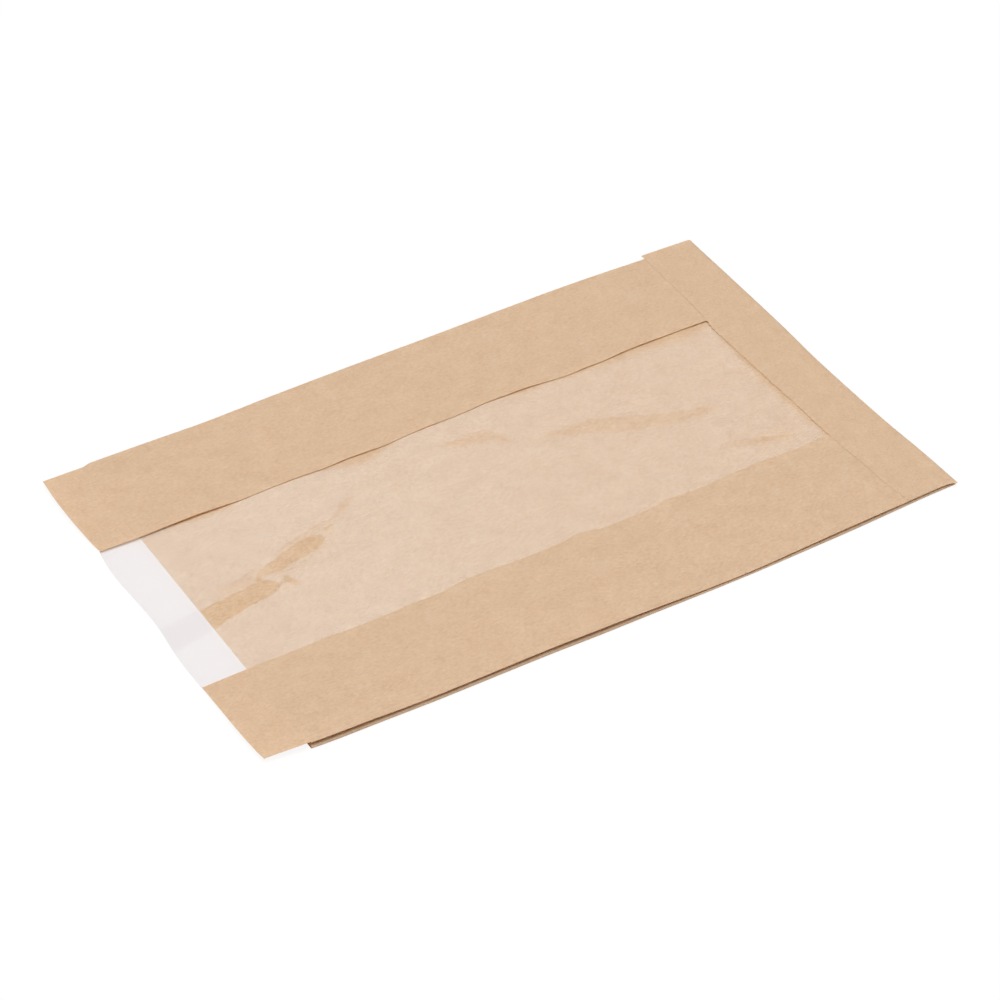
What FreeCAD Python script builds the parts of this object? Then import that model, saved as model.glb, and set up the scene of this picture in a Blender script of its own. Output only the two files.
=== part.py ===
"""Flat pastry bag of kraft paper with a clear window strip, lying on its back.

Two pieces: one folded sheet of kraft paper, and the strip of film glued inside it.
Frame: X runs from the open mouth (-X) to the folded bottom (+X), Y across, Z up.
The origin is the centre of the bag's footprint, on the surface it lies on.
"""
import FreeCAD, Part
import math
import os
import Sketcher

SIZES = [
    # The bag, lying flat.
    ("bag_width", 160.0),          # from side fold to side fold
    ("bag_length", 262.0),         # from the lip's cut edge to the bottom fold
    ("lip_length", 17.0),          # how far the front runs past the back at the mouth
    ("flap_length", 21.0),         # bottom flap, from the bottom fold to its teeth
    # The kraft sheet and its folds.
    ("paper_thickness", 0.1),
    ("fold_gap", 0.5),             # clear height inside a side fold
    ("gusset_gap", 0.8),           # clear height between the two leaves of a gusset
    ("gusset_depth", 25.0),        # from the side fold in to the gusset's own fold
    # The window between the sheet's two long edges.
    ("near_strip", 42.8),          # front strip on the -Y side
    ("window_width", 74.4),
    # The film behind the window.
    ("film_thickness", 0.05),
    ("film_overlap", 9.0),         # glued margin under each front strip
    ("glue_gap", 0.05),            # thickness of a line of adhesive
    # The saw-toothed cut of the flap.
    ("tooth_pitch", 2.15),
    ("tooth_depth", 0.7),
    ("tooth_tip", 0.2),            # flat left at the point of a tooth
]

# Formulas over those sizes that more than one feature uses.
FOLD_RADIUS = "(Sizes.fold_gap / 2 + Sizes.paper_thickness)"
GUSSET_RADIUS = "(Sizes.gusset_gap / 2)"
FOLD_CENTRE = f"(Sizes.bag_width / 2 - {FOLD_RADIUS})"
GUSSET_CENTRE = f"(Sizes.bag_width / 2 - Sizes.gusset_depth + {GUSSET_RADIUS} + Sizes.paper_thickness)"
FRONT_TOP = f"(4 * {FOLD_RADIUS} + 2 * {GUSSET_RADIUS})"
FRONT_UNDERSIDE = f"({FRONT_TOP} - Sizes.paper_thickness)"
FLAP_TOP = f"({FRONT_TOP} + Sizes.glue_gap + Sizes.paper_thickness)"
BOTTOM_RADIUS = f"({FLAP_TOP} / 2)"
TUBE_END = f"(Sizes.bag_length - {BOTTOM_RADIUS})"
TEETH_LINE = "(Sizes.bag_length - Sizes.flap_length)"
NEAR_EDGE = "(Sizes.near_strip - Sizes.bag_width / 2)"
FAR_EDGE = f"({NEAR_EDGE} + Sizes.window_width)"

START, END = 1, 2                  # how the Sketcher numbers the two ends of an edge
CENTRE = 3
ORIGIN = (-1, 1)
X_AXIS = -1

doc = FreeCAD.newDocument("pastry_bag")
sheet = doc.addObject("Spreadsheet::Sheet", "Sizes")
for row, (alias, size) in enumerate(SIZES, start=1):
    sheet.set(f"A{row}", alias)
    sheet.set(f"B{row}", str(size))
    sheet.setAlias(f"B{row}", alias)
doc.recompute()


def value(formula):
    """The number that a formula over the sheet's cells comes to."""
    return float(sheet.evalExpression(formula))


def new_body(label):
    """A body whose footprint is centred on the origin once its placement is bound."""
    body = doc.addObject("PartDesign::Body", label)
    body.Label = label
    body.setExpression("Placement.Base.x", "-Sizes.bag_length / 2")
    return body


def new_sketch(body, name, role, away="0"):
    """A sketch on one of the body's own planes, `away` along that plane's normal."""
    plane = next(item for item in body.Origin.OriginFeatures if item.Role == role)
    sketch = body.newObject("Sketcher::SketchObject", name)
    sketch.AttachmentSupport = [(plane, "")]
    sketch.MapMode = "FlatFace"
    if away != "0":
        sketch.setExpression("AttachmentOffset.Base.z", away)
    return sketch


def bind(sketch, kind, *refs, to):
    """A dimension of the sketch that follows a formula over the sheet."""
    index = sketch.addConstraint(Sketcher.Constraint(kind, *refs, value(to)))
    sketch.setExpression(f"Constraints[{index}]", to)


def place(sketch, kind, edge, point, to):
    """Where a point lies along the sketch's X or Y: kind is DistanceX or DistanceY."""
    bind(sketch, kind, *ORIGIN, edge, point, to=to)


class SheetPath:
    """The outside face of a folded sheet: straight runs and half turns, end to end."""

    def __init__(self, sketch, at, height):
        self.sketch = sketch
        self.at, self.height = value(at), value(height)
        self.end = None

    def join(self, edge, first, last):
        if self.end is not None:
            self.sketch.addConstraint(Sketcher.Constraint("Tangent", *self.end, edge, first))
        self.end = (edge, last)

    def run(self, to):
        """A straight run to another place across the sheet, at the same height."""
        start = FreeCAD.Vector(self.at, self.height, 0)
        self.at = value(to)
        stop = FreeCAD.Vector(self.at, self.height, 0)
        edge = self.sketch.addGeometry(Part.LineSegment(start, stop))
        self.sketch.addConstraint(Sketcher.Constraint("Horizontal", edge))
        self.join(edge, START, END)
        return edge

    def turn(self, centre, radius, bulge, rise):
        """A fold: half a turn that bulges to `bulge` (-1 or 1) and climbs or drops."""
        size = value(radius)
        middle = FreeCAD.Vector(self.at, self.height + rise * size, 0)
        self.height += 2 * rise * size
        low = math.pi / 2 if bulge < 0 else -math.pi / 2
        circle = Part.Circle(middle, FreeCAD.Vector(0, 0, 1), size)
        edge = self.sketch.addGeometry(Part.ArcOfCircle(circle, low, low + math.pi))
        first, last = (START, END) if bulge == rise else (END, START)
        self.join(edge, first, last)
        bind(self.sketch, "Radius", edge, to=radius)
        place(self.sketch, "DistanceX", edge, CENTRE, to=centre)
        return edge


def wall(body, sketch, name, inward):
    """The closed profile of the paper behind a sketched outside face, set off inward."""
    profile = body.newObject("PartDesign::SubShapeBinder", name)
    profile.Support = [(sketch, "")]
    profile.OffsetFill = True
    profile.OffsetOpenResult = True
    profile.setExpression("Offset", inward)
    doc.recompute()
    return profile


def rectangle(sketch, left, right, low, high):
    """A closed rectangle whose four sides follow four formulas."""
    corners = [
        FreeCAD.Vector(value(across), value(up), 0)
        for across, up in ((left, low), (right, low), (right, high), (left, high))
    ]
    edges = [
        sketch.addGeometry(Part.LineSegment(corners[index], corners[(index + 1) % 4]))
        for index in range(4)
    ]
    for index, edge in enumerate(edges):
        following = edges[(index + 1) % 4]
        sketch.addConstraint(Sketcher.Constraint("Coincident", edge, END, following, START))
        kind = "Horizontal" if index % 2 == 0 else "Vertical"
        sketch.addConstraint(Sketcher.Constraint(kind, edge))
    place(sketch, "DistanceX", edges[0], START, to=left)
    place(sketch, "DistanceX", edges[0], END, to=right)
    place(sketch, "DistanceY", edges[0], START, to=low)
    place(sketch, "DistanceY", edges[2], START, to=high)


def pad(body, name, profile, length, both_ways=False):
    """Raise a profile along its normal, or half the length to each side of it."""
    feature = body.newObject("PartDesign::Pad", name)
    feature.Profile = profile
    if both_ways:
        feature.SideType = "Symmetric"
    feature.setExpression("Length", length)
    doc.recompute()
    return feature


def draw_tube(sketch):
    """The sheet's section: strip, gusset, back, gusset, strip, open at the window."""
    path = SheetPath(sketch, NEAR_EDGE, FRONT_TOP)
    near_front = path.run(f"-{FOLD_CENTRE}")
    path.turn(f"-{FOLD_CENTRE}", FOLD_RADIUS, bulge=-1, rise=-1)
    path.run(f"-{GUSSET_CENTRE}")
    path.turn(f"-{GUSSET_CENTRE}", GUSSET_RADIUS, bulge=1, rise=-1)
    path.run(f"-{FOLD_CENTRE}")
    path.turn(f"-{FOLD_CENTRE}", FOLD_RADIUS, bulge=-1, rise=-1)
    back = path.run(FOLD_CENTRE)
    path.turn(FOLD_CENTRE, FOLD_RADIUS, bulge=1, rise=1)
    path.run(GUSSET_CENTRE)
    path.turn(GUSSET_CENTRE, GUSSET_RADIUS, bulge=-1, rise=1)
    path.run(FOLD_CENTRE)
    path.turn(FOLD_CENTRE, FOLD_RADIUS, bulge=1, rise=1)
    far_front = path.run(FAR_EDGE)
    sketch.addConstraint(Sketcher.Constraint("PointOnObject", back, START, X_AXIS))
    place(sketch, "DistanceX", near_front, START, to=NEAR_EDGE)
    place(sketch, "DistanceX", far_front, END, to=FAR_EDGE)


def draw_flap(sketch):
    """The back panel's end, turned up round the bottom and laid over the front."""
    path = SheetPath(sketch, TUBE_END, "0")
    fold = path.turn(TUBE_END, BOTTOM_RADIUS, bulge=1, rise=1)
    sketch.addConstraint(Sketcher.Constraint("PointOnObject", fold, START, X_AXIS))
    sketch.addConstraint(Sketcher.Constraint("Vertical", fold, START, fold, CENTRE))
    over = path.run(TEETH_LINE)
    place(sketch, "DistanceX", over, END, to=TEETH_LINE)


def draw_notch(sketch):
    """The gap between the first two teeth: a triangle that opens on the flap's edge."""
    left = "(Sizes.tooth_tip / 2 - Sizes.bag_width / 2)"
    right = f"({left} + Sizes.tooth_pitch - Sizes.tooth_tip)"
    root = f"({TEETH_LINE} + Sizes.tooth_depth)"
    middle = f"(({left} + {right}) / 2)"
    points = ((TEETH_LINE, left), (TEETH_LINE, right), (root, middle))
    corners = [FreeCAD.Vector(value(along), value(across), 0) for along, across in points]
    for index, (along, across) in enumerate(points):
        edge = sketch.addGeometry(Part.LineSegment(corners[index], corners[(index + 1) % 3]))
        place(sketch, "DistanceX", edge, START, to=along)
        place(sketch, "DistanceY", edge, START, to=across)
    for edge in range(3):
        sketch.addConstraint(Sketcher.Constraint("Coincident", edge, END, (edge + 1) % 3, START))


def cut_teeth(body):
    """Saw teeth along the flap's free edge, as its cutting knife leaves them."""
    outline = new_sketch(body, "notch_outline", "XY_Plane", away=FLAP_TOP)
    draw_notch(outline)
    doc.recompute()
    notch = body.newObject("PartDesign::Pocket", "notch")
    notch.Profile = outline
    notch.setExpression("Length", "Sizes.paper_thickness + Sizes.glue_gap / 2")
    doc.recompute()
    teeth = body.newObject("PartDesign::LinearPattern", "teeth")
    teeth.Originals = [notch]
    teeth.Direction = (outline, ["V_Axis"])
    count = "floor(Sizes.bag_width / Sizes.tooth_pitch)"
    teeth.setExpression("Occurrences", count)
    teeth.setExpression("Length", f"({count} - 1) * Sizes.tooth_pitch")
    body.Tip = teeth
    doc.recompute()


def make_kraft_sheet():
    """The folded kraft sheet: tube with side gussets, lip at the mouth, bottom flap."""
    body = new_body("kraft_paper_bag")
    section = new_sketch(body, "tube_section", "YZ_Plane", away="Sizes.lip_length")
    draw_tube(section)
    doc.recompute()
    tube_wall = wall(body, section, "tube_wall", inward="-Sizes.paper_thickness")
    pad(body, "tube", tube_wall, f"{TUBE_END} - Sizes.lip_length")

    lips = new_sketch(body, "lip_section", "YZ_Plane")
    rectangle(lips, f"-{FOLD_CENTRE}", NEAR_EDGE, FRONT_UNDERSIDE, FRONT_TOP)
    doc.recompute()
    pad(body, "near_lip", lips, "Sizes.lip_length")
    lips = new_sketch(body, "far_lip_section", "YZ_Plane")
    rectangle(lips, FAR_EDGE, FOLD_CENTRE, FRONT_UNDERSIDE, FRONT_TOP)
    doc.recompute()
    pad(body, "far_lip", lips, "Sizes.lip_length")

    side = new_sketch(body, "flap_side", "XZ_Plane")
    draw_flap(side)
    doc.recompute()
    flap_wall = wall(body, side, "flap_wall", inward="Sizes.paper_thickness")
    pad(body, "flap", flap_wall, "Sizes.bag_width", both_ways=True)
    cut_teeth(body)
    return body


def make_window_film():
    """The clear strip behind the window, glued under the inner face of both strips."""
    body = new_body("window_film")
    section = new_sketch(body, "film_section", "YZ_Plane")
    top = f"({FRONT_UNDERSIDE} - Sizes.glue_gap)"
    rectangle(
        section,
        f"({NEAR_EDGE} - Sizes.film_overlap)",
        f"({FAR_EDGE} + Sizes.film_overlap)",
        f"({top} - Sizes.film_thickness)",
        top,
    )
    doc.recompute()
    pad(body, "film", section, TUBE_END)
    return body


def check(body):
    """Stop unless the body is one valid solid and every feature of the document is."""
    for item in doc.Objects:
        if "Invalid" in item.State or "Error" in item.State:
            raise RuntimeError(f"{item.Label} failed: {item.State}")
    shape = body.Shape
    if shape.isNull() or not shape.isValid() or len(shape.Solids) != 1:
        raise RuntimeError(f"{body.Label} is not one valid solid")


bodies = [make_kraft_sheet(), make_window_film()]
doc.recompute()
for body in bodies:
    check(body)
os.makedirs("parts", exist_ok=True)
for body in bodies:
    body.Shape.exportStep(f"parts/{body.Label}.step")
    box = body.Shape.BoundBox
    print(body.Label, "volume %.1f mm3" % body.Shape.Volume, "box", box)
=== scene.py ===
"""Looks for the flat kraft pastry bag with a window: paper, film, floor, light and camera.

The frame is the CAD model's: X runs from the open mouth to the folded bottom, Y across the
bag, Z up. Shapes are worked out in millimetres and turned into metres when a mesh is made.
"""

import math

import bpy
import numpy as np
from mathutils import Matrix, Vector


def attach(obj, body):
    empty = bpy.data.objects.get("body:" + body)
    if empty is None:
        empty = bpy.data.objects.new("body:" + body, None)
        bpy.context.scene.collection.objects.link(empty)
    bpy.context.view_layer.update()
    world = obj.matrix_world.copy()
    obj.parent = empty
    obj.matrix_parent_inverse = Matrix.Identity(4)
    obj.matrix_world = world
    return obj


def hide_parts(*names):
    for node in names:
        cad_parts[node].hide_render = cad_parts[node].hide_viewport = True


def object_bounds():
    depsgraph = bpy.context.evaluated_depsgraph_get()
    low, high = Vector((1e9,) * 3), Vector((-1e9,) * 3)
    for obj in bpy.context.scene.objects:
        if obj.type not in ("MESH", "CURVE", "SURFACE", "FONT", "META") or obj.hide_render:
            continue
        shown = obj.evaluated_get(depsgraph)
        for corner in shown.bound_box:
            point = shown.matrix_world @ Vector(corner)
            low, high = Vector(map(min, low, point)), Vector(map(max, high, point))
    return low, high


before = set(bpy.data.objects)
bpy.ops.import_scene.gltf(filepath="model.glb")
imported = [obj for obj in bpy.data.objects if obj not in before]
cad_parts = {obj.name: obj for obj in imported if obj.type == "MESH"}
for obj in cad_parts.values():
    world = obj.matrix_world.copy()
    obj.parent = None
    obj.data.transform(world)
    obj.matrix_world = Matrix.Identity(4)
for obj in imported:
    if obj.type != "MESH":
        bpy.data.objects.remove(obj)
CAD_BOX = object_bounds()
CAD_LOW, CAD_HIGH = (corner * 1000 for corner in CAD_BOX)

# Sizes in millimetres, as in the CAD model.
MOUTH = CAD_LOW.x              # the lip's cut edge
BOTTOM = CAD_HIGH.x            # the bottom fold
LIP = 17.0                     # how far the front runs past the back at the mouth
FLAP = 21.0                    # from the bottom fold to the teeth
GUSSET_DEPTH = 25.0
PAPER = 0.1
FILM = 0.05
GLUE = 0.05
TOOTH_DEPTH = 0.7
TOOTH_COUNT = 74
BACK_MOUTH = MOUTH + LIP
TUBE_END = BOTTOM - 1.2        # where the back starts to turn up round the bottom
TEETH = BOTTOM - FLAP

# How this bag lies, as (place along X, millimetres) points with smooth lines between them.
NEAR_SIDE = (
    (-131, -75.7), (-122, -76.9), (-112, -77.9), (-90, -78.75), (-70, -79.4), (-50, -79.65),
    (-30, -79.9), (-10, -80.5), (10, -80.8), (30, -81.15), (50, -81.3), (67, -81.1),
    (88, -80.75), (108, -80.0), (118, -79.6), (131, -79.45),
)
FAR_SIDE = (
    (-131, 79.7), (-118, 79.5), (-110, 79.3), (-90, 78.9), (-70, 78.4), (-40, 78.95),
    (-20, 79.2), (20, 79.5), (50, 79.85), (72, 80.0), (90, 79.7), (106, 79.3), (131, 79.2),
)
NEAR_WINDOW_EDGE = (
    (-131, -36.6), (-110, -36.9), (-98, -37.4), (-86, -37.4), (-78, -37.9), (-62, -37.9),
    (-54, -37.7), (-46, -38.0), (-38, -37.0), (-33, -36.6), (-24, -36.8), (-14, -37.4),
    (-6, -37.5), (2, -37.15), (10, -36.4), (18, -38.3), (26, -38.2), (34, -38.5), (42, -37.3),
    (50, -37.6), (58, -37.85), (66, -37.25), (74, -37.15), (82, -37.0), (90, -37.45),
    (98, -37.6), (107, -37.05), (131, -37.2),
)
FAR_WINDOW_EDGE = (
    (-131, 38.1), (-118, 37.5), (-110, 37.2), (-102, 37.3), (-94, 37.05), (-86, 36.6),
    (-78, 36.4), (-66, 36.8), (-54, 36.7), (-46, 36.3), (-38, 36.5), (-30, 36.25), (-22, 36.25),
    (-14, 36.95), (-6, 37.3), (2, 37.3), (10, 37.45), (18, 38.1), (26, 37.9), (34, 37.7),
    (42, 37.1), (50, 36.45), (58, 36.6), (66, 36.65), (74, 37.2), (82, 37.35), (90, 37.3),
    (98, 37.3), (106, 37.0), (131, 37.5),
)
NEAR_HEIGHT = (
    (-131, 1.9), (-122, 2.6), (-112, 3.0), (-98, 3.05), (-78, 2.6), (-58, 2.55), (-20, 2.8),
    (0, 2.75), (20, 2.1), (32, 1.65), (50, 1.6), (70, 2.05), (90, 2.35), (103, 2.15),
    (112, 1.85), (131, 1.8),
)
MIDDLE_HEIGHT = (
    (-131, 0.9), (-114, 1.2), (-98, 1.5), (-60, 1.6), (40, 1.55), (100, 1.4), (131, 1.25),
)
BACK_HEIGHT = (                # of its loose middle
    (-131, 0.0), (-114, 0.0), (-104, 0.3), (-92, 0.8), (-78, 1.12), (-60, 1.14), (40, 1.12),
    (86, 1.05), (104, 1.0), (112, 0.9), (127, 0.0), (131, 0.0),
)
FAR_HEIGHT = ((-131, 2.2), (-60, 2.3), (40, 2.1), (110, 1.6), (131, 1.25))
FAR_EDGE_GAP = (               # how far the far strip's window edge stands up
    (-131, 0.0), (-115, 0.0), (-109, 0.2), (-102, 0.16), (-94, 0.38), (-86, 0.37), (-78, 0.08),
    (-70, 0.0), (-60, 0.1), (-46, 0.13), (-37, 0.32), (-29, 0.32), (-22, 0.0), (-12, 0.0),
    (-6, 0.12), (2, 0.02), (11, 0.02), (26, 0.2), (35, 0.34), (42, 0.14), (50, 0.06), (58, 0.25),
    (66, 0.14), (74, 0.3), (84, 0.34), (98, 0.2), (106, 0.36), (112, 0.25), (118, 0.05),
    (131, 0.05),
)
FAR_EDGE_SHADE_REACH = (              # painted shade: how far from that edge the film loses its gloss, so the paper shows darker
    (-131, 0.0), (-106, 0.5), (-94, 2.6), (-84, 1.5), (-76, 0.0), (-62, 0.6), (-48, 0.6),
    (-42, 2.2), (-37, 4.6), (-30, 4.6), (-24, 2.0), (-17, 0.0), (16, 0.2), (28, 1.0),
    (36, 1.6), (43, 0.6), (50, 1.6), (58, 1.6), (66, 2.8), (80, 3.4), (98, 5.4), (106, 4.0),
    (114, 1.0), (131, 1.0),
)
FILM_SAG = ((-131, 0.1), (-110, 0.12), (-90, 0.05), (85, 0.0), (107, 0.02), (131, 0.02))
FILM_SHINE = (                 # painted reflection: how much of a clean face's gloss it shows, raised towards the mouth where more light falls
    (-131, 1.24), (-100, 1.3), (-70, 1.28), (-30, 1.12), (0, 1.0), (60, 0.88), (131, 0.86),
)
FLAP_NEAR_SIDE = (
    (108, -80.0), (113, -79.8), (118, -79.45), (124, -79.5), (129, -80.1), (131, -80.75),
)
FLAP_FAR_SIDE = ((108, 81.2), (131, 80.7))

# Edges that aren't quite straight, as (place along Y, millimetres towards the bottom fold).
LIP_EDGE = (
    (-77, 1.3), (-73, 0.85), (-68, 0.45), (-59, 0.15), (-52, 0.2), (-44, 0.25), (-37, 0.25),
    (37, 2.1), (41.5, 1.45), (46, 1.05), (54, 0.45), (62, 0.2), (72, 0.5), (79, 0.9),
)
BOTTOM_EDGE = (
    (-80, 0.3), (-64, 0.0), (-52, -0.4), (-40, -0.75), (-16, -1.1), (0, -1.05), (20, -0.35),
    (38, -0.1), (80, 0.2),
)
TEETH_EDGE = (
    (-80, 0.9), (-75, 0.35), (-70, -0.15), (-60, -0.5), (-48, -0.95), (-40, -1.2), (-34, -1.35),
    (-20, -1.35), (4, -1.65), (20, -1.8), (34, -1.8), (40, -1.05), (50, -0.55), (70, -0.35),
    (80, 0.0),
)

FRONT_FOLD_RADIUS = 0.2
BACK_FOLD_RADIUS = 0.55
GUSSET_FOLD_RADIUS = 0.25
BACK_FOLD_OUT = 0.15           # how far the back's side fold stands out past the front's

# Where the loose parts of the bag lie, from the middle line or from an edge.
WINDOW_SIDE = 38.0             # about where the strips' window edges are
STRIP_RISE = 26.0              # the front goes from its middle height to its side height over this
BACK_SIDE = 51.0               # the back lies flat on the floor outside this
BACK_RISE = 13.0
LIFT_REACH = 7.0               # how far from its window edge the far strip is lifted
FLAP_GLUE = 0.02
FLAP_SINK = 0.16               # how far the flap is pressed down where only film lies under it
BACK_CUT_OUT = 0.45            # how far the back's cut edge at the mouth is out of its place
FAR_CUT_IN = 0.9               # how far the far strip's corner is cut in at the mouth
TOOTH_NOISE = 0.1


def curve(points, at):
    """A smooth line through given points."""
    places, values = np.asarray(points, float).T
    slopes = np.gradient(values, places)
    at = np.clip(at, places[0], places[-1])
    i = np.clip(np.searchsorted(places, at, side="right") - 1, 0, len(places) - 2)
    gap = places[i + 1] - places[i]
    t = (at - places[i]) / gap
    rise = values[i + 1] - values[i]
    start, stop = slopes[i] * gap - rise, rise - slopes[i + 1] * gap
    return values[i] + t * rise + t * (1 - t) * (start * (1 - t) + stop * t)


def smooth(t):
    """0 below 0, 1 above 1, and an even ramp between."""
    t = np.clip(t, 0, 1)
    return t * t * (3 - 2 * t)


def ripple(x, y):
    """The slight unevenness of paper that lies loose."""
    return (
        0.05 * np.sin(x / 17 + y / 29 + 0.6)
        + 0.04 * np.sin(x / 31 - y / 13 + 2.1)
        + 0.02 * np.sin(x / 7.3 + y / 9.1)
    )


def front_height(x, y):
    """Height of the front's outer face, before its window edges lift."""
    middle = curve(MIDDLE_HEIGHT, x)
    side = np.where(y < 0, curve(NEAR_HEIGHT, x), curve(FAR_HEIGHT, x))
    loose = smooth((TUBE_END - x) / 25)
    share = smooth((abs(y) - WINDOW_SIDE) / STRIP_RISE)
    return middle + (side - middle) * share + loose * ripple(x, y)


def back_height(x, y):
    """How far the back's loose middle stands off the floor."""
    return curve(BACK_HEIGHT, x) * smooth((BACK_SIDE - abs(y)) / BACK_RISE)


def far_edge_gap(x):
    """How far the far strip's window edge stands up at each place along the bag."""
    return np.maximum(curve(FAR_EDGE_GAP, x), 0)


def far_edge_lift(x, y):
    """How far the far strip stands up, fading out away from its window edge."""
    away = abs(y - curve(FAR_WINDOW_EDGE, x)) / LIFT_REACH
    return far_edge_gap(x) * smooth(1 - away) ** 1.5


def film_height(x, y):
    """Height of the film's upper face: glued under the strips, slack between them."""
    glued = front_height(x, y) - PAPER - GLUE
    across = np.clip(abs(y) / WINDOW_SIDE, 0, 1)
    slack = curve(FILM_SAG, x) * (1 - across ** 2.5)
    # It sinks a hair beside the lifted edge, from 4 mm under the strip to 22 mm out from it.
    under = y - curve(FAR_WINDOW_EDGE, x)
    sink = 0.05 * far_edge_gap(x) * smooth((4 - under) / 5) * smooth((under + 22) / 22)
    return glued - slack - sink


def flap_height(x, y):
    """Height of the flap's outer face, over the strips and the film."""
    over_window = smooth((TEETH + 5 - x) / 5) * smooth((37 - abs(y)) / 6)
    over_front = FLAP_GLUE + PAPER - FLAP_SINK * over_window
    return front_height(x, y) + far_edge_lift(x, y) + over_front


# ------------------------------------------------------------------ the kraft sheet
STRIP_STEPS = np.concatenate([np.linspace(0, 0.16, 9), np.linspace(0.16, 0.97, 13)[1:], [1.0]])
HALF_TURN = np.linspace(0, math.pi, 7)
LEAF_STEPS = np.linspace(0, 1, 6)[1:-1]


def half_section(side, x):
    """Columns (kind, y, z) of the sheet's outer face from one window edge to the back.

    `side` is -1 for the near half and 1 for the far half; x is an array of places.
    """
    edge = side * curve(NEAR_WINDOW_EDGE if side < 0 else FAR_WINDOW_EDGE, x)
    front = side * curve(NEAR_SIDE if side < 0 else FAR_SIDE, x)
    top = front_height(x, side * front)
    front_r = np.minimum(FRONT_FOLD_RADIUS, 0.18 * top)
    back_r = np.minimum(BACK_FOLD_RADIUS, 0.22 * top)
    gusset_r = np.minimum(GUSSET_FOLD_RADIUS, 0.15 * top)
    gusset = front - GUSSET_DEPTH
    gusset_z = 0.5 * front_height(x, side * gusset) - 0.05
    front_y, back_y = front - front_r, front + BACK_FOLD_OUT - back_r

    columns = []
    for step in STRIP_STEPS:
        y = side * (edge + (front_y - edge) * step)
        lift = far_edge_lift(x, y) if side > 0 else 0
        columns.append(("strip", y, front_height(x, y) + lift))
    for turn in HALF_TURN[1:]:
        y = side * (front_y + front_r * math.sin(turn))
        columns.append(("fold", y, top - front_r + front_r * math.cos(turn)))
    for step in LEAF_STEPS:
        y = side * (front_y + (gusset - front_y) * step)
        low, high = gusset_z + gusset_r, top - 2 * front_r
        columns.append(("leaf", y, high + (low - high) * step))
    for turn in HALF_TURN:
        y = side * (gusset - gusset_r * math.sin(turn))
        columns.append(("fold", y, gusset_z + gusset_r * math.cos(turn)))
    for step in LEAF_STEPS:
        y = side * (gusset + (back_y - gusset) * step)
        low, high = gusset_z - gusset_r, 2 * back_r
        columns.append(("leaf", y, low + (high - low) * step))
    for turn in HALF_TURN:
        y = side * (back_y + back_r * math.sin(turn))
        columns.append(("back", y, back_r + back_r * math.cos(turn)))
    return columns


def whole_section(x):
    """Columns of the whole sheet, from the near window edge round to the far one."""
    near, far = half_section(-1, x), half_section(1, x)
    low, high = near[-1][1], far[-1][1]
    across = [low + (high - low) * step for step in np.linspace(0, 1, 2 * TOOTH_COUNT + 1)[1:-1]]
    back = [("back", y, back_height(x, y)) for y in across]
    return near + back + far[::-1]


def tube_points(x):
    """Points (row, column, xyz) of the tube, and each column's kind."""
    columns = whole_section(x)
    kinds = np.array([kind for kind, _, _ in columns])
    y = np.stack([column[1] for column in columns], axis=1)
    z = np.stack([column[2] for column in columns], axis=1)
    return np.stack([np.repeat(x[:, None], len(kinds), axis=1), y, z], axis=2), kinds


def blank_places(points):
    """Where each point of a section lies across the unfolded blank."""
    steps = np.hypot(np.diff(points[0, :, 1]), np.diff(points[0, :, 2]))
    along = np.concatenate([[0], np.cumsum(steps)])
    return along - along.mean()


def turned_rows(last, flap_y):
    """The back's end turned up round the bottom: half an ellipse that ends on the front."""
    rows = []
    for turn in HALF_TURN[1:]:
        raised = (1 - math.cos(turn)) / 2
        y = last[:, 1] + (flap_y(BOTTOM) - last[:, 1]) * raised
        x = np.full_like(y, TUBE_END + (BOTTOM - TUBE_END) * math.sin(turn))
        z = last[:, 2] * (1 - raised) + flap_height(x, y) * raised
        rows.append(np.stack([x, y, z], axis=1))
    return rows


def flap_rows(flap_y, tooth_noise):
    """The flap from the bottom fold to its teeth; the last row zigzags."""
    rows = []
    for x in np.linspace(TUBE_END, TEETH + TOOTH_DEPTH + 1.6, 16)[1:]:
        y = flap_y(x)
        rows.append(np.stack([np.full_like(y, x), y, flap_height(x, y)], axis=1))
    y = flap_y(TEETH)
    point = np.arange(len(y)) % 2 == 0
    x = TEETH + curve(TEETH_EDGE, y) + np.where(point, 0.0, TOOTH_DEPTH) + tooth_noise
    rows.append(np.stack([x, y, flap_height(x, y)], axis=1))
    return rows


def uneven_edges(points):
    """Moves the mouth's cut edges and the bottom fold to where this bag has them."""
    x, y = points[..., 0].copy(), points[..., 1].copy()
    lip = np.clip((BACK_MOUTH - x) / LIP, 0, 1)
    back = smooth(1 - abs(x - BACK_MOUTH) / 8)
    bottom = smooth((x - TEETH - 4) / 16)
    points[..., 0] += lip * curve(LIP_EDGE, y) + bottom * curve(BOTTOM_EDGE, y)
    points[..., 0] -= BACK_CUT_OUT * back
    far_cut = smooth((y - 70) / 9) * smooth((BACK_MOUTH + 0.4 - x) / 0.6)
    points[..., 1] -= FAR_CUT_IN * far_cut
    return points


def kept_quads(kinds, rows, lip_rows, tube_rows):
    """Which quads are paper: the strips alone on the lip, and the back alone past the tube."""
    strip, back = kinds == "strip", kinds == "back"
    keep = np.ones((rows - 1, len(kinds) - 1), bool)
    keep[:lip_rows] = strip[:-1] & strip[1:]
    keep[tube_rows - 1:] = back[:-1] & back[1:]
    return keep


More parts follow.
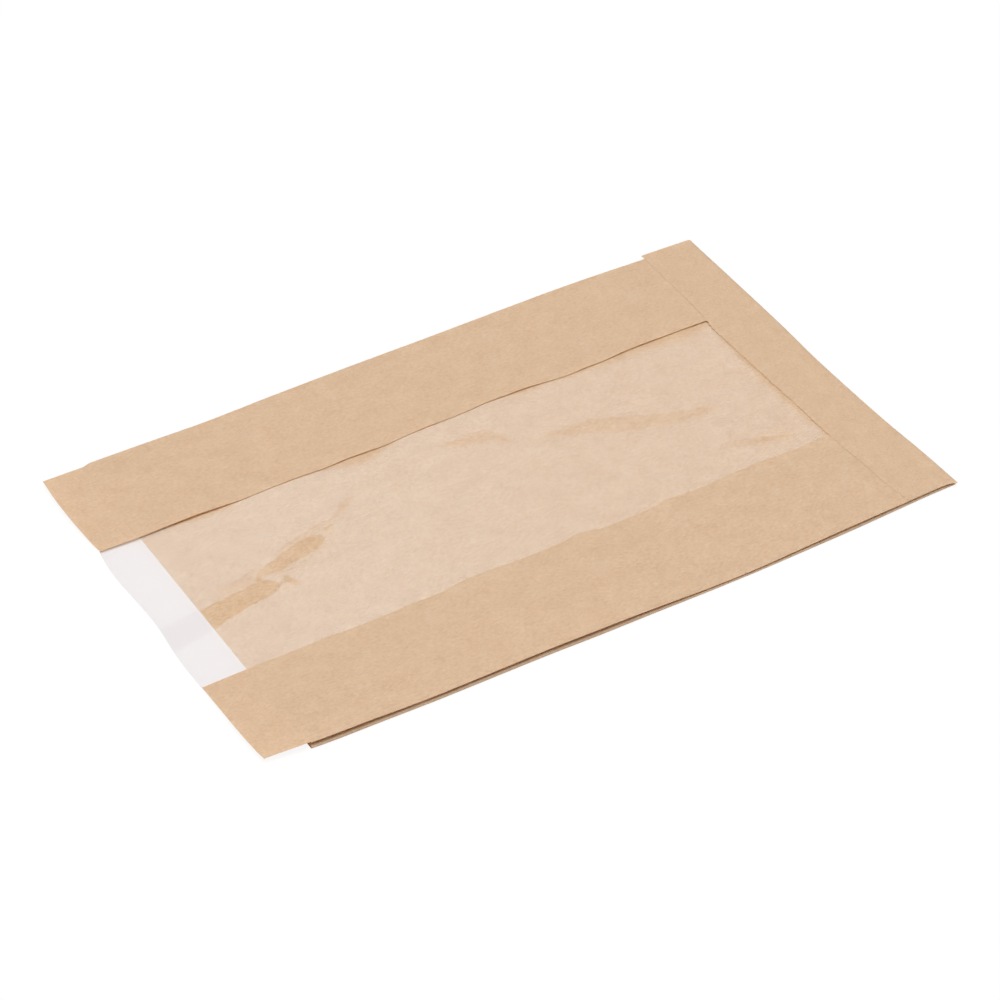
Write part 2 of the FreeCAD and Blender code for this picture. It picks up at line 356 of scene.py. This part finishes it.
def sheet_mesh():
    """The folded blank's outer face as one grid, which quads are paper, and its flat places."""
    lip = np.linspace(MOUTH, BACK_MOUTH, 10)
    lip_end = np.array([BACK_MOUTH - 0.05])
    tube = np.linspace(BACK_MOUTH, TUBE_END, 112)
    x = np.concatenate([lip[:-1], lip_end, tube])
    points, kinds = tube_points(x)
    places = blank_places(points)

    back = np.flatnonzero(kinds == "back")
    share = (places[back] - places[back[0]]) / (places[back[-1]] - places[back[0]])

    def flap_y(at):
        """Where the back's columns lie across the bag once they are turned over."""
        low, high = curve(FLAP_NEAR_SIDE, at), curve(FLAP_FAR_SIDE, at)
        return low + (high - low) * share

    noise = np.random.default_rng(5).normal(0, TOOTH_NOISE, len(back))
    over = turned_rows(points[-1, back], flap_y) + flap_rows(flap_y, noise)
    full = np.zeros((len(over), len(kinds), 3))
    full[:, back] = np.stack(over)
    grid = uneven_edges(np.concatenate([points, full]))

    keep = kept_quads(kinds, len(grid), len(lip), len(x))
    along = np.arange(len(grid)) * (BOTTOM - MOUTH) / len(x)
    blank = np.stack(np.meshgrid(along, places, indexing="ij"), axis=2)
    return grid[:, ::-1], keep[:, ::-1], blank[:, ::-1]      # so that the faces look outward


def grid_object(name, grid, keep=None, blank=None):
    """A mesh object from a grid of points in millimetres, with a UV map of the flat blank."""
    rows, cols = grid.shape[:2]
    index = np.arange(rows * cols).reshape(rows, cols)
    quads = np.stack([index[:-1, :-1], index[1:, :-1], index[1:, 1:], index[:-1, 1:]], axis=2)
    quads = quads[keep] if keep is not None else quads.reshape(-1, 4)
    used, faces = np.unique(quads, return_inverse=True)
    mesh = bpy.data.meshes.new(name)
    corners = grid.reshape(-1, 3)[used] / 1000
    mesh.from_pydata(corners.tolist(), [], faces.reshape(-1, 4).tolist())
    if blank is not None:
        layer = mesh.uv_layers.new(name="blank")
        owners = np.zeros(len(mesh.loops), np.int32)
        mesh.loops.foreach_get("vertex_index", owners)
        flat = blank.reshape(-1, 2)[used][owners] / 1000
        layer.uv.foreach_set("vector", flat.ravel())
    mesh.update()
    piece = bpy.data.objects.new(name, mesh)
    bpy.context.scene.collection.objects.link(piece)
    return piece


def thicken(piece, thickness, inner_material=0):
    """Gives a sheet its thickness inward of its outer face, with crisp cut edges."""
    solid = piece.modifiers.new("thickness", "SOLIDIFY")
    solid.thickness = thickness / 1000
    solid.offset = -1
    solid.material_offset = inner_material
    evaluated = piece.evaluated_get(bpy.context.evaluated_depsgraph_get())
    mesh = bpy.data.meshes.new_from_object(evaluated)
    piece.modifiers.clear()
    piece.data = mesh
    mesh.shade_smooth()
    mesh.set_sharp_from_angle(angle=math.radians(50))
    return piece


# ------------------------------------------------------------------ the film
FILM_MARGIN = 9.0              # glued under each strip
FILM_MOUTH = (                 # its cut edge at the mouth, as (place along Y, place along X)
    (-46, -130.0), (-40, -130.3), (-37, -130.9), (-34, -131.0), (-16, -130.6), (-7, -129.8),
    (34, -129.9), (37, -129.5), (40, -128.8), (46, -128.6),
)

# Creases of the film, painted into its gloss rather than shaped: a tilted facet mirrors nothing
# bright, so the paper shows darker in it, and this painted loss of reflection stands for that. Each
# has how much gloss it loses (gains, where negative, as a painted highlight), how soft its edge is,
# and the points (x, y, half its width) that it runs through, in millimetres.
CREASES = (
    # the broad fold from the mouth, first over the floor and then over the paper
    (1.00, 0.7, ((-134, -12.2, 6.3), (-117, -9.8, 5.4), (-104, -7.8, 4.4), (-92, -6.2, 4.0),
                 (-89.8, -6.6, 2.8), (-87.0, -7.4, 0.6))),
    (1.00, 0.7, ((-90.6, 0.8, 0.6), (-88, 0.8, 1.6), (-86, 0.9, 2.3), (-83, 1.3, 2.9),
                 (-80, 2.3, 3.1), (-75, 3.7, 3.5), (-71, 4.6, 3.6), (-68, 5.2, 3.3),
                 (-66.2, 5.6, 2.9))),
    (0.95, 0.9, ((-92.4, -2.8, 1.2), (-91.0, -0.6, 0.9), (-89.6, 0.8, 1.0))),
    # the smaller marks round it
    (0.95, 0.8, ((-84.0, -4.0, 0.4), (-83.5, -5.5, 1.1), (-82.9, -7.5, 1.3), (-82.4, -9.4, 1.1))),
    (0.75, 0.7, ((-87.2, -7.8, 0.5), (-85.6, -7.0, 0.5), (-84.4, -5.8, 0.6))),
    (0.45, 0.8, ((-88, -9.4, 0.4), (-84.8, -9.8, 0.5), (-82.4, -10.2, 0.5))),
    (0.42, 1.8, ((-109, -3.0, 0.6), (-104, -1.6, 1.4), (-98, -1.0, 2.0), (-93.5, -0.6, 1.6))),
    (0.50, 1.0, ((-107, 0.4, 0.3), (-100, 1.0, 0.6), (-95, 1.8, 0.6), (-91, 3.0, 0.8),
                 (-88, 3.9, 0.5))),
    (0.65, 0.7, ((-99.2, -0.4, 0.4), (-97.6, -1.2, 0.6))),
    (0.60, 0.6, ((-94.5, -1.2, 0.4), (-93.3, -0.6, 0.4))),
    (0.80, 0.8, ((-80.5, 6.1, 0.2), (-77, 7.9, 0.4), (-72, 9.5, 0.5), (-66, 10.9, 0.5),
                 (-60, 12.1, 0.5), (-56, 12.6, 0.4))),
    (0.30, 2.0, ((-79, 7.0, 0.8), (-72, 9.0, 1.0), (-65, 9.4, 1.6), (-60, 9.0, 2.2))),
    (0.85, 0.8, ((-61.6, 9.0, 0.3), (-59.8, 9.2, 1.0), (-58.0, 9.9, 0.6))),
    (0.42, 1.4, ((-57, 11.4, 0.8), (-53.5, 13.6, 1.0), (-50.5, 15.6, 1.6), (-47, 17.9, 1.3),
                 (-45, 18.8, 0.5))),
    (0.55, 1.2, ((-51.6, 15.2, 0.6), (-49.5, 16.2, 1.3), (-47.2, 18.0, 0.8))),
    (0.42, 0.8, ((-88, -1.9, 0.5), (-80, -2.5, 0.6), (-75, -1.6, 0.5), (-70, -0.6, 0.5),
                 (-62, 0.7, 0.3))),
    (0.60, 0.6, ((-67.6, 1.9, 0.4), (-64.6, 1.6, 0.4))),
    (0.28, 2.4, ((-64, 5.6, 1.4), (-61, 6.4, 1.8))),
    # painted highlight: a thin line with extra gloss
    (-0.30, 0.5, ((-108, -14.6, 0.3), (-101, -13.2, 0.4), (-96, -12.2, 0.2))),
    # the arc in the middle
    (0.50, 1.6, ((-6.4, 26.0, 0.4), (-2, 24.6, 1.4), (1, 24.0, 2.4), (5, 24.2, 2.9), (9, 23.0, 2.8),
                 (12, 20.4, 1.9), (13.4, 17.4, 1.0), (14.2, 15.8, 0.4))),
    (0.90, 0.9, ((-5.6, 25.7, 0.3), (-2.6, 25.2, 0.7), (-0.4, 23.8, 0.9), (0.8, 22.6, 0.4))),
    (0.80, 0.8, ((0.4, 24.2, 0.3), (2.8, 24.3, 0.6), (4.8, 25.0, 0.3))),
    (0.80, 0.9, ((9.6, 23.4, 0.4), (11.4, 20.6, 0.6), (12.9, 17.7, 0.8), (14.2, 15.8, 0.4))),
    # the long fold towards the flap
    (0.55, 1.6, ((27, 12.6, 0.5), (30, 11.3, 1.2), (35, 10.2, 2.4), (40, 9.1, 3.1), (46, 7.6, 3.8),
                 (50, 5.3, 3.8), (54, 3.3, 3.7), (58, 1.8, 3.6), (62, 0.4, 3.2), (66, -1.0, 2.9),
                 (70, -2.2, 2.4), (76, -3.3, 2.0), (82, -4.5, 1.3), (87, -5.5, 0.4))),
    (0.80, 0.8, ((26.6, 12.9, 0.2), (28.4, 12.2, 0.6), (30.4, 11.3, 0.4))),
    (0.75, 0.9, ((39, 12.0, 0.3), (44, 11.0, 0.6), (50, 9.2, 0.6), (54, 7.2, 0.3))),
    (0.80, 0.7, ((34.0, 9.3, 0.3), (37, 7.9, 0.5), (40.4, 6.4, 0.3))),
    (0.82, 0.8, ((47.4, 3.2, 0.4), (48.6, 4.8, 0.7), (50.2, 6.6, 0.3))),
    (0.80, 0.8, ((51.4, 0.6, 0.3), (53.2, 0.0, 0.6), (55, -0.8, 0.2))),
    (0.80, 0.8, ((59.6, 4.4, 0.3), (63, 2.9, 0.6), (66.5, 1.4, 0.5), (70.5, 0.0, 0.3))),
    (0.75, 1.2, ((60.5, -0.6, 0.6), (63, 1.0, 1.0))),
    (0.78, 1.2, ((65.5, -2.2, 0.5), (68, -3.0, 1.1), (71, -3.9, 0.8))),
    (0.80, 0.7, ((74.4, -4.4, 0.3), (76.8, -5.0, 0.6), (79, -4.8, 0.3))),
    (0.80, 0.7, ((77.4, -2.6, 0.3), (79.2, -2.3, 0.4), (81.2, -2.8, 0.3))),
    # near the flap
    (0.55, 1.8, ((76, -23.8, 0.4), (82, -25.9, 1.2), (88, -27.8, 1.8), (94, -29.4, 1.6),
                 (100, -31.6, 0.5))),
    (1.00, 0.9, ((82, -25.2, 0.2), (86, -26.8, 0.6), (90, -28.0, 1.3), (93, -29.0, 1.2),
                 (96, -29.9, 0.9), (99, -31.2, 0.2))),
    (0.40, 0.8, ((80, -23.8, 0.2), (90, -24.6, 0.4), (97, -26.8, 0.4), (103, -30.0, 0.3))),
    # painted shade: a band with no gloss just before the flap's teeth, where the flap shades the
    # paper below
    (1.00, 1.3, ((109.2, 36, 0.7), (108.6, 20, 1.0), (107.9, 0, 1.6), (108.4, -20, 1.3),
                 (109.2, -37, 0.9))),
    (0.50, 0.8, ((97, 4.9, 0.2), (104, 4.1, 0.4), (108.5, 3.4, 0.3))),
    # small ones
    (0.65, 0.7, ((-30.8, 16.7, 0.4), (-29.4, 16.0, 0.5))),
    (0.35, 1.2, ((-49.5, -31.0, 0.6), (-45, -28.6, 0.5))),
)


def patchy(x, y, size, seed):
    """Smooth random numbers from -1 to 1 whose patches are about `size` across."""
    lattice = np.random.default_rng(seed).uniform(-1, 1, (97, 97))
    x, y = x / size % 96, y / size % 96
    i, j = x.astype(int), y.astype(int)
    u, v = smooth(x - i), smooth(y - j)
    low = lattice[i, j] * (1 - u) + lattice[i + 1, j] * u
    high = lattice[i, j + 1] * (1 - u) + lattice[i + 1, j + 1] * u
    return low * (1 - v) + high * v


def crease_depth(x, y, points):
    """How far inside a bent strip of changing width each place lies, in millimetres."""
    inside = np.full(x.shape, -99.0)
    for (x0, y0, width0), (x1, y1, width1) in zip(points, points[1:]):
        run_x, run_y = x1 - x0, y1 - y0
        along = ((x - x0) * run_x + (y - y0) * run_y) / (run_x ** 2 + run_y ** 2)
        along = np.clip(along, 0, 1)
        away = np.hypot(x - x0 - along * run_x, y - y0 - along * run_y)
        inside = np.maximum(inside, width0 + (width1 - width0) * along - away)
    return inside


def film_gloss(x, y):
    """How much gloss the film shows at each place, as painted reflection: fuller towards the mouth,
    none in its creases and less beside the far strip's lifted edge, which paints shade there.
    """
    ragged_x = x + 0.35 * patchy(x, y, 1.6, 1) + 0.18 * patchy(x, y, 0.7, 2)
    ragged_y = y + 0.35 * patchy(x, y, 1.6, 3) + 0.18 * patchy(x, y, 0.7, 4)
    over_floor = smooth((BACK_MOUTH - x) / 1.5)
    shade_reach = curve(FAR_EDGE_SHADE_REACH, x)
    # painted shade and painted loss of reflection in a band beside the far strip's lifted edge
    lost = 0.95 * smooth(1.3 - (curve(FAR_WINDOW_EDGE, x) - y) / np.maximum(shade_reach, 0.1))
    for share, blur, points in CREASES:
        depth = crease_depth(ragged_x, ragged_y, points) / (blur + 1.8 * over_floor)
        part = share * (1 - 0.2 * over_floor) * np.clip(depth + 0.5, 0, 1)
        lost = np.maximum(lost, part) if share > 0 else lost + part
    return curve(FILM_SHINE, x) * np.clip(1 - lost, 0, None)


def film_mesh():
    """The film's upper face as one grid, from its wavy mouth edge to under the flap.

    Its rows and columns are closer together where most of the creases are.
    """
    x = np.concatenate([
        np.arange(MOUTH, -116, 1.2), np.arange(-116, -46, 0.5), np.arange(-46, TUBE_END - 0.6, 1.2),
    ])
    step = np.concatenate([
        np.linspace(0, 0.17, 11)[:-1], np.linspace(0.17, 0.81, 110)[:-1], np.linspace(0.81, 1, 12),
    ])
    low, high = curve(NEAR_WINDOW_EDGE, x) - FILM_MARGIN, curve(FAR_WINDOW_EDGE, x) + FILM_MARGIN
    y = low[:, None] + (high - low)[:, None] * step
    x = np.repeat(x[:, None], len(step), axis=1)
    fade = np.clip((BACK_MOUTH - x) / LIP, 0, 1)
    x = x + fade * (curve(FILM_MOUTH, y) - MOUTH)
    return np.stack([x, y, film_height(x, y)], axis=2), film_gloss(x, y)


# ------------------------------------------------------------------ materials
def add_node(tree, kind, inputs=None, **settings):
    """A node with its settings, and its inputs linked or set."""
    made = tree.nodes.new(kind)
    for name, value in settings.items():
        setattr(made, name, value)
    for name, value in (inputs or {}).items():
        if isinstance(value, bpy.types.NodeSocket):
            tree.links.new(value, made.inputs[name])
        else:
            made.inputs[name].default_value = value
    return made


def new_material(name):
    """A material with an empty node tree."""
    material = bpy.data.materials.new(name)
    material.use_nodes = True
    material.node_tree.nodes.clear()
    return material, material.node_tree


def math_node(tree, operation, *values):
    """The result of a Math node."""
    inputs = dict(enumerate(values))
    return add_node(tree, "ShaderNodeMath", inputs, operation=operation).outputs[0]


def put_out(tree, shader, kind="ShaderNodeOutputMaterial"):
    """Links the last shader to the tree's output."""
    tree.links.new(shader.outputs[0], add_node(tree, kind).inputs[0])


def mixed(tree, share, first, second):
    """Two shaders mixed, with `share` of the second."""
    inputs = {0: share, 1: first.outputs[0], 2: second.outputs[0]}
    return add_node(tree, "ShaderNodeMixShader", inputs)


KRAFT_DARK = (0.688, 0.505, 0.325)
KRAFT_LIGHT = (0.908, 0.767, 0.584)
KRAFT_TRANSLUCENCY = 0.33
# makes the inner face a little darker, most in blue
KRAFT_INSIDE_TINT = (0.99, 0.975, 0.95)
FILM_MILK = 0.026              # how much of the film is haze where its gloss is full


def kraft_material(name, cloudy, grainy, fibrous, tint=(1.0, 1.0, 1.0)):
    """Uncoated kraft: cloudy formation, fine fibres along the web and a matt, rough face."""
    material, tree = new_material(name)
    place = add_node(tree, "ShaderNodeUVMap", uv_map="blank").outputs[0]

    def noise(scale, stretch, detail, offset, roughness=0.6):
        """Noise of `scale` features a millimetre, drawn out along the bag."""
        mapped = add_node(tree, "ShaderNodeMapping", {
            "Vector": place, "Scale": (1000 * scale / stretch, 1000 * scale, 1.0),
            "Location": (offset, offset, 0.0),
        })
        return add_node(tree, "ShaderNodeTexNoise", {
            "Vector": mapped.outputs[0], "Scale": 1.0, "Detail": detail, "Roughness": roughness,
        }).outputs["Fac"]

    def add(tone, texture, amount):
        """The tone with a texture added about its middle."""
        centred = math_node(tree, "SUBTRACT", texture, 0.5)
        return math_node(tree, "MULTIPLY_ADD", centred, amount, tone)

    cloud = noise(0.16, 1.4, 4.0, 3.0, 0.9)
    grain = noise(1.1, 1.6, 3.0, 11.0, 0.8)
    fibre = noise(3.0, 7.0, 2.0, 27.0)
    tone = add(0.5, cloud, cloudy)
    tone = add(tone, grain, grainy)
    tone = add(tone, fibre, fibrous)
    colour = add_node(tree, "ShaderNodeValToRGB", {"Fac": tone})
    for element, shade in zip(colour.color_ramp.elements, (KRAFT_DARK, KRAFT_LIGHT)):
        element.color = (*(part * own for part, own in zip(shade, tint)), 1)

    relief = math_node(tree, "MULTIPLY_ADD", fibre, 0.6, grain)
    bump = add_node(tree, "ShaderNodeBump", {
        "Height": relief, "Strength": 0.2, "Distance": 0.00004,
    })
    skin = add_node(tree, "ShaderNodeBsdfPrincipled", {
        "Base Color": colour.outputs["Color"], "Roughness": 0.78,
        "Specular IOR Level": 0.35, "Normal": bump.outputs[0],
    })
    glow = add_node(tree, "ShaderNodeBsdfTranslucent", {"Color": (1.0, 0.78, 0.55, 1)})
    put_out(tree, mixed(tree, KRAFT_TRANSLUCENCY, skin, glow))
    return material


def film_material():
    """Clear film: a faint haze and a gloss, painted fuller towards the mouth as painted reflection,
    that its creases lose.
    """
    material, tree = new_material("clear_film")
    place = add_node(tree, "ShaderNodeTexCoord").outputs["Object"]
    uneven = add_node(tree, "ShaderNodeTexNoise", {
        "Vector": place, "Scale": 420.0, "Detail": 3.0, "Roughness": 0.85,
    }).outputs["Fac"]
    gloss = add_node(tree, "ShaderNodeAttribute", attribute_name="gloss").outputs["Fac"]
    # painted reflection: the gloss and the haze follow the painted gloss attribute, made uneven by
    # a noise
    shine = math_node(tree, "MULTIPLY", gloss, math_node(tree, "MULTIPLY_ADD", uneven, 0.75, 0.625))
    clear = add_node(tree, "ShaderNodeBsdfTransparent")
    haze = add_node(tree, "ShaderNodeBsdfPrincipled", {
        "Base Color": (0.95, 0.94, 0.93, 1), "Roughness": 0.25, "Specular IOR Level": 0.5,
    })
    hazy = mixed(tree, math_node(tree, "MULTIPLY", shine, FILM_MILK), clear, haze)
    behind = add_node(tree, "ShaderNodeNewGeometry").outputs["Backfacing"]
    index = math_node(tree, "MULTIPLY_ADD", behind, 1 / 1.5 - 1.5, 1.5)
    fresnel = add_node(tree, "ShaderNodeFresnel", {"IOR": index}).outputs[0]
    mirror = math_node(tree, "MULTIPLY", fresnel, shine)
    skin = add_node(tree, "ShaderNodeBsdfGlossy", {"Color": (1, 1, 1, 1), "Roughness": 0.08})
    put_out(tree, mixed(tree, mirror, hazy, skin))
    return material


def floor_material():
    """A pale floor that the camera sees as white, with the object's shadow kept."""
    material, tree = new_material("floor")
    pale = add_node(tree, "ShaderNodeBsdfDiffuse", {"Color": (0.836, 0.797, 0.791, 1)})
    path = add_node(tree, "ShaderNodeLightPath")
    direct = math_node(tree, "LESS_THAN", path.outputs["Transparent Depth"], 0.5)
    seen = math_node(tree, "MULTIPLY", path.outputs["Is Camera Ray"], direct)
    white = add_node(tree, "ShaderNodeEmission", {"Color": (1, 1, 1, 1), "Strength": 1.05})
    put_out(tree, mixed(tree, math_node(tree, "MULTIPLY", seen, 0.84), pale, white))
    return material


# ------------------------------------------------------------------ the pieces
def make_sheet():
    """The folded kraft sheet, whose inner face has a coarser texture and is a little darker, most
    in blue.
    """
    grid, keep, blank = sheet_mesh()
    flat = grid_object("kraft_sheet", grid, keep, blank)
    flat.data.materials.append(kraft_material("kraft_paper", 1.15, 1.5, 0.82))
    inside = kraft_material("kraft_paper_inside", 1.6, 1.9, 1.2, tint=KRAFT_INSIDE_TINT)
    flat.data.materials.append(inside)
    piece = thicken(flat, PAPER, inner_material=1)
    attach(piece, "root")
    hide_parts("kraft_paper_bag")


def make_film():
    """The clear film behind the window, which carries its gloss as a mesh attribute."""
    grid, shine = film_mesh()
    flat = grid_object("window_sheet", grid)
    flat.data.attributes.new("gloss", "FLOAT", "POINT").data.foreach_set("value", shine.ravel())
    piece = thicken(flat, FILM)
    piece.data.materials.append(film_material())
    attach(piece, "root")
    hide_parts("window_film")


# ------------------------------------------------------------------ the studio
AMBIENT = 0.2                 # strength of the white world on matt surfaces
LAMP_WAY = Vector((-0.10, -0.12, 0.98)).normalized()
LAMP_AWAY = 3.0
LAMP_SIDE = 2.8
LAMP_RADIANCE = 3.57
SHEEN_WAY = Vector((0.40, 0.65, 0.65)).normalized()      # where the film mirrors the camera to
SHEEN_AWAY = 1.5
SHEEN_SIDE = 0.9
SHEEN_RADIANCE = 0.40


def make_floor():
    """A wide plane a hair below the bag."""
    bpy.ops.mesh.primitive_plane_add(size=6, location=(0, 0, -0.00005))
    floor = bpy.context.object
    floor.name = "floor"
    floor.data.materials.append(floor_material())


def make_world():
    """A world that is white to the camera and in reflections, and dimmer as a light."""
    world = bpy.data.worlds.new("studio")
    world.use_nodes = True
    tree = world.node_tree
    tree.nodes.clear()
    path = add_node(tree, "ShaderNodeLightPath")
    seen = math_node(tree, "MAXIMUM", path.outputs["Is Camera Ray"], path.outputs["Is Glossy Ray"])
    seen = math_node(tree, "MAXIMUM", seen, path.outputs["Is Transmission Ray"])
    strength = math_node(tree, "MULTIPLY_ADD", seen, 1 - AMBIENT, AMBIENT)
    white = add_node(tree, "ShaderNodeBackground", {"Color": (1, 1, 1, 1), "Strength": strength})
    put_out(tree, white, "ShaderNodeOutputWorld")
    bpy.context.scene.world = world


def make_lamp(name, way, away, side, radiance):
    """A square softbox that shines at the bag from `way`."""
    light = bpy.data.lights.new(name, "AREA")
    light.size = side
    light.energy = radiance * math.pi * side ** 2
    lamp = bpy.data.objects.new(name, light)
    lamp.location = way * away
    lamp.rotation_euler = way.to_track_quat("Z", "Y").to_euler()
    bpy.context.scene.collection.objects.link(lamp)


CAMERA_TARGET = Vector((-0.0033, -0.0069, 0.0))
CAMERA_TURN = math.radians(-121.38)      # the camera's direction from the bag, round Z from +X
CAMERA_RISE = math.radians(40.36)
CAMERA_AWAY = 1.197
CAMERA_LENS = 129.4


def make_camera():
    """The camera that stands where the photo's did."""
    data = bpy.data.cameras.new("camera")
    data.sensor_width = 36
    data.lens = CAMERA_LENS
    data.clip_start = 0.05
    camera = bpy.data.objects.new("camera", data)
    way = Vector((
        math.cos(CAMERA_RISE) * math.cos(CAMERA_TURN),
        math.cos(CAMERA_RISE) * math.sin(CAMERA_TURN),
        math.sin(CAMERA_RISE),
    ))
    camera.location = CAMERA_TARGET + way * CAMERA_AWAY
    camera.rotation_euler = way.to_track_quat("Z", "Y").to_euler()
    bpy.context.scene.collection.objects.link(camera)
    bpy.context.scene.camera = camera


make_sheet()
make_film()
make_floor()
make_world()
make_lamp("softbox", LAMP_WAY, LAMP_AWAY, LAMP_SIDE, LAMP_RADIANCE)
make_lamp("sheen_card", SHEEN_WAY, SHEEN_AWAY, SHEEN_SIDE, SHEEN_RADIANCE)
make_camera()
bpy.context.scene.view_settings.view_transform = "Standard"
